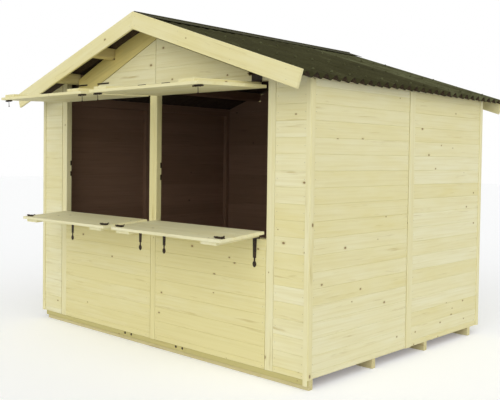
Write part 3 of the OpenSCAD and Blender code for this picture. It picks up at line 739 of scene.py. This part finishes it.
# Roof sheets: sine corrugations 95 mm apart, lapped by one corrugation.
WAVE_L, WAVE_H, SHEET_T, LAP = 0.095, 0.035, 0.003, 0.0004
# The sheets' upper end clears the other slope's, and their lower end stands past the wall.
RIDGE_CLEAR, EAVE_OUT = 0.002, 0.070
SLOPE_FROM = (WAVE_H + 2 * SHEET_T + LAP) * RISE + RIDGE_CLEAR
SLOPE_TO = (HALF + EAVE_OUT) / RUN
# Points to a corrugation and rows of them down the slope.
WAVE_STEPS, SLOPE_ROWS = 16, 14


def crest(waves):
    """Height of the sheets' underside above its hollows, so many corrugations from the front."""
    return WAVE_H / 2 * (1 - math.cos(2 * math.pi * waves))


for side, sign in SIDES:
    for part, lift in (("front", 0.0), ("middle", SHEET_T + LAP), ("back", 0.0)):
        node = f"{side}_sheet_{part}"
        lo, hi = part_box(node)
        columns = round((hi.y - lo.y) / WAVE_L * WAVE_STEPS)
        sheet = new_piece()
        for i in range(SLOPE_ROWS + 1):
            s = SLOPE_FROM + (SLOPE_TO - SLOPE_FROM) * i / SLOPE_ROWS
            for k in range(columns + 1):
                y = lo.y + k * WAVE_L / WAVE_STEPS
                for thick in (0.0, SHEET_T):
                    sheet["verts"].append(on_slope(sign, s, y, crest(k / WAVE_STEPS) + lift + thick))
                    sheet["grain"].append((s, y, thick))
                    sheet["tone"].append(FADE_AND_SHEEN[part])
        sheet_faces(sheet, SLOPE_ROWS, columns, UNDERSIDE, CUT_END)
        make(sheet, f"{node}_corrugated", "stall", SHEETING, [node])

# A strip scribed to the sheets stands on each side wall and fills the lower part of the corrugations.
SCRIBE_H, SCRIBE_GAP, SCRIBE_STEPS, SCRIBE_CLEAR = 0.020, 0.0015, 12, 0.001
scribed_strips = new_piece()
first, last = FRONT + BOARD + SCRIBE_CLEAR, BACK - BOARD - SCRIBE_CLEAR
cuts = round((last - first) / WAVE_L * SCRIBE_STEPS)
outline = [(first, 0.0), (last, 0.0)]
for k in range(cuts, -1, -1):
    y = first + (last - first) * k / cuts
    room = under(HALF) - WALL_TOP + crest((y - roof_front) / WAVE_L) / RUN - SCRIBE_GAP
    outline.append((y, min(SCRIBE_H, room)))
for sign in (1, -1):
    at = place(Vector((sign * (HALF - BOARD), 0, WALL_TOP)), Y, Z, sign * X)
    shaped(scribed_strips, at, outline, BOARD - SCRIBE_CLEAR)
make(scribed_strips, "eave_scribed_strips", "stall", WOOD)

# Ridge cap: one folded sheet with a small roll along the ridge.
CAP_WING, CAP_ROLL, CAP_ROWS, WING_STEPS = 0.160, 0.010, 28, 6
cap_foot = under(0) + (WAVE_H + 2 * SHEET_T + 2 * LAP) / RUN
cap_t = SHEET_T / RUN
fold_half = [CAP_ROLL * math.sin(math.radians(d)) for d in range(10, 91, 10)]
fold_half += [CAP_ROLL + (CAP_WING * RUN - CAP_ROLL) * i / WING_STEPS for i in range(1, WING_STEPS + 1)]
fold = [-x for x in fold_half[::-1]] + [0.0] + fold_half
cap = new_piece()
for k in range(CAP_ROWS + 1):
    y = roof_front + (roof_back - roof_front) * k / CAP_ROWS
    for x in fold:
        wing = cap_foot - abs(x) * RISE
        roll = cap_foot + math.sqrt(CAP_ROLL ** 2 - x * x) if abs(x) < CAP_ROLL else 0.0
        face = max(wing + cap_t, roll)
        for z in (face - cap_t, face):
            cap["verts"].append((x, y, z))
            cap["grain"].append((x, y, z))
            cap["tone"].append(FADE_AND_SHEEN["cap"])
sheet_faces(cap, CAP_ROWS, len(fold) - 1, COAT, COAT)
make(cap, "ridge_cap_fold", "stall", SHEETING, ["ridge_cap"])

# Turned fittings, as (height, radius): roof nail caps, bolt bands and stems, screws, coach bolts and nails.
CAP_NAIL = [(0.0, 0.011), (0.0015, 0.011), (0.003, 0.0085), (0.007, 0.0075), (0.0095, 0.005), (0.0105, 0.001)]
BAND = [(0.0, 0.0062), (0.001, 0.0067), (0.007, 0.0067), (0.008, 0.0062)]
STEM = [(0.0, 0.002), (0.036, 0.002), (0.0375, 0.0038), (0.0405, 0.0044), (0.0435, 0.0038), (0.045, 0.0015)]
SCREW = [(-0.0005, 0.0042), (0.0004, 0.0042), (0.0014, 0.0032), (0.0018, 0.0012)]
COACH_BOLT = [(-0.0005, 0.0095), (0.0005, 0.0095), (0.003, 0.0075), (0.0042, 0.003)]
NAIL = [(-0.0005, 0.0022), (0.0002, 0.0022), (0.0006, 0.0013)]

# Capped roofing nails on every second crest over the purlins and at the eaves, higher on the middle sheets.
CRESTS, MIDDLE_CRESTS, EAVE_NAIL_IN, NAIL_SINK = range(0, 28, 2), range(9, 19), 0.04, 0.0004
roof_nails = new_piece()
for sign in (1, -1):
    out = slope_ways(sign)[1]
    for x in PURLIN_XS + (HALF - EAVE_NAIL_IN,):
        for i in CRESTS:
            lift = SHEET_T + LAP if i in MIDDLE_CRESTS else 0.0
            y, h = roof_front + (i + 0.5) * WAVE_L, WAVE_H + SHEET_T + lift - NAIL_SINK
            seat = place(on_slope(sign, x / RUN, y, h), Y, out.cross(Y), out)
            turned(roof_nails, seat, CAP_NAIL, sides=12)
make(roof_nails, "roof_nail_caps", "stall", SHEETING)

# Flaps: boards along the front on two wide ledges, open at a slight droop.
DROOP = {"counter": math.radians(4), "awning": math.radians(2)}
FLAP_L, FLAP_BOARDS = {"counter": 0.401, "awning": 0.599}, {"counter": 4, "awning": 6}
PIN_OFF, LEDGE_T, FLAP_T, ROOT_GAP, FLAP_JOINT = 0.007, 0.020, 0.020, 0.003, 0.0003
LEDGE_W, LEDGE_IN, LEDGE_FREE = 0.140, 0.044, 0.010
HINGE_IN, PLATE_T = 0.092, 0.003
BOLT_R, BOLT_L, BOLT_IN, BOLT_SEAT, BANDS = 0.005, 0.090, 0.040, 0.0005, (-0.024, 0.016)
# Screws as (along the front, from the hinge): in the straps, in the leaves and in the fixed plates.
# A counter's strap is on the wall and has one more.
STRAP_SCREWS = ((0.0, 0.060), (0.0, 0.092), (0.0, 0.124), (0.0, 0.175))
WALL_STRAP_SCREWS = STRAP_SCREWS + ((0.0, 0.028),)
LEAF_SCREWS = ((-0.034, 0.026), (0.034, 0.026))
PLATE_SCREWS = tuple((dx, dz) for dx in (-0.034, 0.034) for dz in (0.010, 0.030))


def hung(side, kind):
    """The frame of an open flap: its hinge axis at the origin, its boards over +Z."""
    pin = hinge[f"{side}_{kind}_hinge"]
    at = Matrix.Translation((0, pin.y, pin.z))
    if kind == "awning":
        return at @ Matrix.Diagonal((1, 1, -1, 1)) @ Matrix.Rotation(-DROOP[kind], 4, "X")
    return at @ Matrix.Rotation(DROOP[kind], 4, "X")


def hang(piece, at):
    """Moves a piece made flat into the frame of its flap."""
    piece["verts"] = [at @ Vector(v) for v in piece["verts"]]


for side, sign in SIDES:
    for kind in ("counter", "awning"):
        body, at_hinge = f"{side}_{kind}", hung(side, kind)
        lo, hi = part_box(f"{body}_flap")
        near, far = sorted((abs(lo.x), abs(hi.x)))
        length = FLAP_L[kind]
        w = length / FLAP_BOARDS[kind]
        # Flap boards are picked from set tones: counters paler as painted light, awnings warmer as painted
        # shade.
        flap = new_piece(TONES[kind])
        at = place(Vector((0, 0, PIN_OFF + LEDGE_T)), X, -Y, Z)
        for i in range(FLAP_BOARDS[kind]):
            a, b = ROOT_GAP + i * w, ROOT_GAP + (i + 1) * w
            board(flap, at, plank(a + FLAP_JOINT, b - FLAP_JOINT, FLAP_T, EASE, EASE), lo.x, hi.x)
        for x in (near + LEDGE_IN, far - LEDGE_IN - LEDGE_W):
            a, b = sorted((sign * x, sign * (x + LEDGE_W)))
            block(flap, (a, -ROOT_GAP - length + LEDGE_FREE, PIN_OFF), (b, -ROOT_GAP, PIN_OFF + LEDGE_T), "Y",
                  STOUT_EASE)
        hang(flap, at_hinge)
        make(flap, f"{body}_flap_boards", body, WOOD, [f"{body}_flap"])
        # Barrel bolts: two bands over each rod, and a thin stem with a ball to slide it by. Hinge screws.
        fittings = new_piece()
        rod = PIN_OFF + LEDGE_T + FLAP_T + PLATE_T + BOLT_R - BOLT_SEAT
        for x in (near + BOLT_L / 2, far - BOLT_L / 2):
            centre = Vector((sign * x, -ROOT_GAP - length + BOLT_IN, rod))
            for along in BANDS:
                turned(fittings, place(centre + along * X, Y, Z, X), BAND)
            # The stems hang from the awning bolts and lie flat on the counters.
            stem = place(centre, X, Y, Z) if kind == "awning" else place(centre, X, -Z, Y)
            turned(fittings, stem, STEM, sides=12)
        for x in (near + HINGE_IN, far - HINGE_IN):
            for dx, dy in LEAF_SCREWS + (STRAP_SCREWS if kind == "awning" else ()):
                seat = Vector((sign * x + dx, -ROOT_GAP - dy, PIN_OFF - PLATE_T))
                turned(fittings, place(seat, Y, X, -Z), SCREW, sides=10)
        hang(fittings, at_hinge)
        make(fittings, f"{body}_bolt_fittings", body, [iron])


def on_front(x, z, proud=0.0):
    """The frame of a fitting on the front, standing out from it."""
    return place(Vector((x, FRONT - proud, z)), X, Z, -Y)


# Screws of the fixed hinge halves, coach bolts through the base rail and keeps for the barrel bolts.
counter_z, awning_z = hinge["right_counter_hinge"].z, hinge["right_awning_hinge"].z
flap_lo, flap_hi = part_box("right_counter_flap")
fixings = new_piece()
for sign in (1, -1):
    for x in (flap_lo.x + HINGE_IN, flap_hi.x - HINGE_IN):
        spots = [(dx, counter_z - dy) for dx, dy in WALL_STRAP_SCREWS]
        spots += [(dx, awning_z + PIN_OFF + dz) for dx, dz in PLATE_SCREWS]
        for dx, z in spots:
            turned(fixings, on_front(sign * x + dx, z, PLATE_T), SCREW, sides=10)
COACH_XS, COACH_DOWN = (-0.322, -0.245, 0.278, 0.348), 0.011
for x in COACH_XS:
    turned(fixings, on_front(x, rail_hi.z - COACH_DOWN, FRONT - rail_lo.y), COACH_BOLT)
# A keep is a thin plate on the side of a post, so that a closed flap clears it by 5 mm.
KEEP_H, KEEP_W, KEEP_T, KEEP_EASE = 0.040, 0.014, 0.0009, 0.0003
for z in (counter_z + ROOT_GAP + FLAP_L["counter"] - BOLT_IN,
          awning_z - ROOT_GAP - FLAP_L["awning"] + BOLT_IN):
    for x, way in ((jamb_lo.x, -1), (-jamb_lo.x, 1), (mullion_hi.x, 1), (mullion_lo.x, -1)):
        a, b = sorted((x, x + way * KEEP_T))
        block(fixings, (a, jamb_hi.y - KEEP_W, z - KEEP_H / 2), (b, jamb_hi.y, z + KEEP_H / 2), "Z",
              KEEP_EASE)
# Two flat black bars lie on the front over the left awning, each on a pair of screws.
DARK_BAR_XS, DARK_BAR_Z, DARK_BAR_L, DARK_BAR_W, DARK_BAR_T, DARK_BAR_EASE = (-0.925, -0.630), 2.017, 0.150, 0.012, 0.004, 0.001
DARK_BAR_SCREW_XS = (-0.068, 0.068)
for x in DARK_BAR_XS:
    block(fixings, (x - DARK_BAR_L / 2, FRONT - DARK_BAR_T, DARK_BAR_Z - DARK_BAR_W / 2),
          (x + DARK_BAR_L / 2, FRONT, DARK_BAR_Z + DARK_BAR_W / 2), "X", DARK_BAR_EASE)
    for dx in DARK_BAR_SCREW_XS:
        turned(fixings, on_front(x + dx, DARK_BAR_Z, DARK_BAR_T), SCREW, sides=10)
make(fixings, "hinge_screws_and_keeps", "stall", [iron])

# Nails: one a board at each batten, and two in the bargeboards over each purlin.
SIDE_NAIL_YS = (FRONT + 0.052, MID - 0.022, MID + STRIP_W + 0.012, BACK - 0.052)
FRONT_NAIL_XS = (jamb_hi.x + 0.022, HALF - 0.044)
COUNTER_NAIL_XS = (0.062, counter_hi.x - 0.022)
BARGE_NAIL_XS, BARGE_NAIL_DROPS = (0.03,) + PURLIN_XS + (HALF - 0.03,), (0.030, 0.095)
barge_lo, barge_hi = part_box("right_front_barge")
board_nails = new_piece()
for sign in (1, -1):
    for a, b in courses(FOOT, WALL_TOP):
        z = (a + b) / 2
        for y in SIDE_NAIL_YS:
            turned(board_nails, place(Vector((sign * HALF, y, z)), Y, Z, sign * X), NAIL, sides=8)
        for x in FRONT_NAIL_XS + (COUNTER_NAIL_XS if b < counter_hi.z else ()):
            turned(board_nails, on_front(sign * x, z), NAIL, sides=8)
    for x in BARGE_NAIL_XS:
        for drop in BARGE_NAIL_DROPS:
            z = barge_hi.z - x * RISE - drop
            turned(board_nails, on_front(sign * x, z, FRONT - barge_lo.y), NAIL, sides=8)
make(board_nails, "board_nails", "stall", [zinc])

# Ironmongery keeps its solids and takes the black coat.
for name, node in frame["nodes"].items():
    if any(k in name for k in ("straps", "plates", "leaves", "bolts")):
        node.data.materials.clear()
        node.data.materials.append(iron)


# Studio: pale floor, soft light from the front, white behind.

def seen_rays(tree):
    """1 where the camera, a gloss or a glass looks straight at it, 0 for the light it gives."""
    ray = add(tree, "ShaderNodeLightPath")
    seen = add(tree, "ShaderNodeMath", {"operation": "MAXIMUM"},
               {0: ray.outputs["Is Camera Ray"], 1: ray.outputs["Is Glossy Ray"]})
    seen = add(tree, "ShaderNodeMath", {"operation": "MAXIMUM"},
               {0: seen.outputs[0], 1: ray.outputs["Is Transmission Ray"]})
    return seen.outputs[0]


FLOOR_HALF, FLOOR_Z, FLOOR_LIFT, WORLD_LIGHT, WORLD_SEEN = 40, -0.001, 0.18, 0.52, 1.0
floor_mesh = bpy.data.meshes.new("studio_floor")
corners = [(x * FLOOR_HALF, y * FLOOR_HALF, FLOOR_Z) for x, y in ((-1, -1), (1, -1), (1, 1), (-1, 1))]
floor_mesh.from_pydata(corners, [], [(0, 1, 2, 3)])
floor = bpy.data.objects.new("studio_floor", floor_mesh)
bpy.context.scene.collection.objects.link(floor)
# Matt white paper. The camera sees it lifted to white, and its shadows with it.
paper, tree, shader = finish("studio_paper", 0.9, 1.45)
shader.inputs["Base Color"].default_value = linear("#f2f4f7")
lift = add(tree, "ShaderNodeMath", {"operation": "MULTIPLY", 1: FLOOR_LIFT}, {0: seen_rays(tree)})
shader.inputs["Emission Color"].default_value = (1, 1, 1, 1)
tree.links.new(lift.outputs[0], shader.inputs["Emission Strength"])
floor_mesh.materials.append(paper)

world = bpy.data.worlds.new("studio")
bpy.context.scene.world = world
world.use_nodes = True
tree = world.node_tree
tree.nodes.clear()
light = add(tree, "ShaderNodeBackground", {"Color": linear("#fdfbf6"), "Strength": WORLD_LIGHT})
white = add(tree, "ShaderNodeBackground", {"Color": (1, 1, 1, 1), "Strength": WORLD_SEEN})
mixed = add(tree, "ShaderNodeMixShader", {}, {0: seen_rays(tree), 1: light.outputs[0], 2: white.outputs[0]})
add(tree, "ShaderNodeOutputWorld", {}, {"Surface": mixed.outputs[0]})


def soft_lamp(name, azimuth, height, spread, power):
    """A broad far lamp, for even light over the whole floor. Azimuth runs from the front to the right."""
    lamp = bpy.data.lights.new(name, "SUN")
    lamp.angle, lamp.energy = math.radians(spread), power
    obj = bpy.data.objects.new(name, lamp)
    bpy.context.scene.collection.objects.link(obj)
    a, h = math.radians(azimuth), math.radians(height)
    toward = Vector((math.sin(a) * math.cos(h), -math.cos(a) * math.cos(h), math.sin(h)))
    obj.rotation_euler = toward.to_track_quat("Z", "Y").to_euler()


soft_lamp("key_lamp", azimuth=55, height=36, spread=80, power=1.35)
soft_lamp("front_lamp", azimuth=12, height=5, spread=90, power=1.2)

# Camera at the photograph's view: its place, and the angles it is turned, tipped down and rolled by.
VIEW_FROM = Vector((4.3541, FRONT - 3.5914, 1.4392))
YAW, TIP, ROLL = math.radians(43.07), 0.0305, 0.0136
ahead = Vector((-math.sin(YAW) * math.cos(TIP), math.cos(YAW) * math.cos(TIP), -math.sin(TIP)))
right = Vector((math.cos(YAW), math.sin(YAW), 0))
up = right.cross(ahead)
lens = bpy.data.cameras.new("view")
lens.sensor_width, lens.lens, lens.shift_y = 36, 53.836, -0.0392
view = bpy.data.objects.new("view", lens)
bpy.context.scene.collection.objects.link(view)
view.matrix_world = place(VIEW_FROM, right * math.cos(ROLL) + up * math.sin(ROLL),
                          up * math.cos(ROLL) - right * math.sin(ROLL), -ahead)
bpy.context.scene.camera = view
bpy.context.scene.view_settings.view_transform = "Standard"
